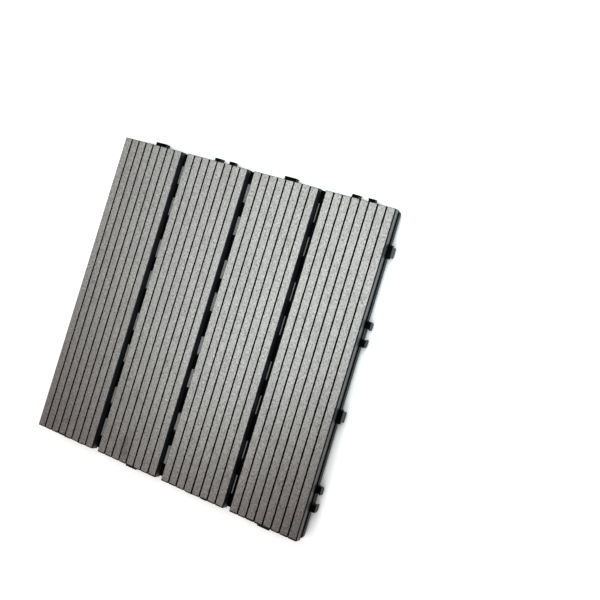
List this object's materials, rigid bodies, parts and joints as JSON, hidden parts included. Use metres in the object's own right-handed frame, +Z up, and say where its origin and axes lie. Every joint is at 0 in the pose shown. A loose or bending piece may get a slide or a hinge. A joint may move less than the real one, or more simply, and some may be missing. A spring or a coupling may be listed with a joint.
{
  "type": "interlocking deck tile",
  "caption": "Square deck tile: grooved grey composite slats screwed to a black moulded grid with feet and interlocking tongues and sockets on its sides.",
  "frame": {"origin": "on the floor under the middle of the tile", "axes": "+Z up through the walking face, slats along Y"},
  "size_m": [0.308, 0.308, 0.022],
  "materials": {
    "composite": "wood-plastic composite, ribs sanded to a streaky grey, darker skin in the grooves and sides",
    "grid_plastic": "black moulded polypropylene with a slight sheen",
    "screw_steel": "plain stainless steel"
  },
  "bodies": {
    "root": {"slat_1": "composite", "slat_2": "composite", "slat_3": "composite", "slat_4": "composite", "base_grid": "grid_plastic", "slat_screws": "screw_steel"}
  },
  "joints": []
}
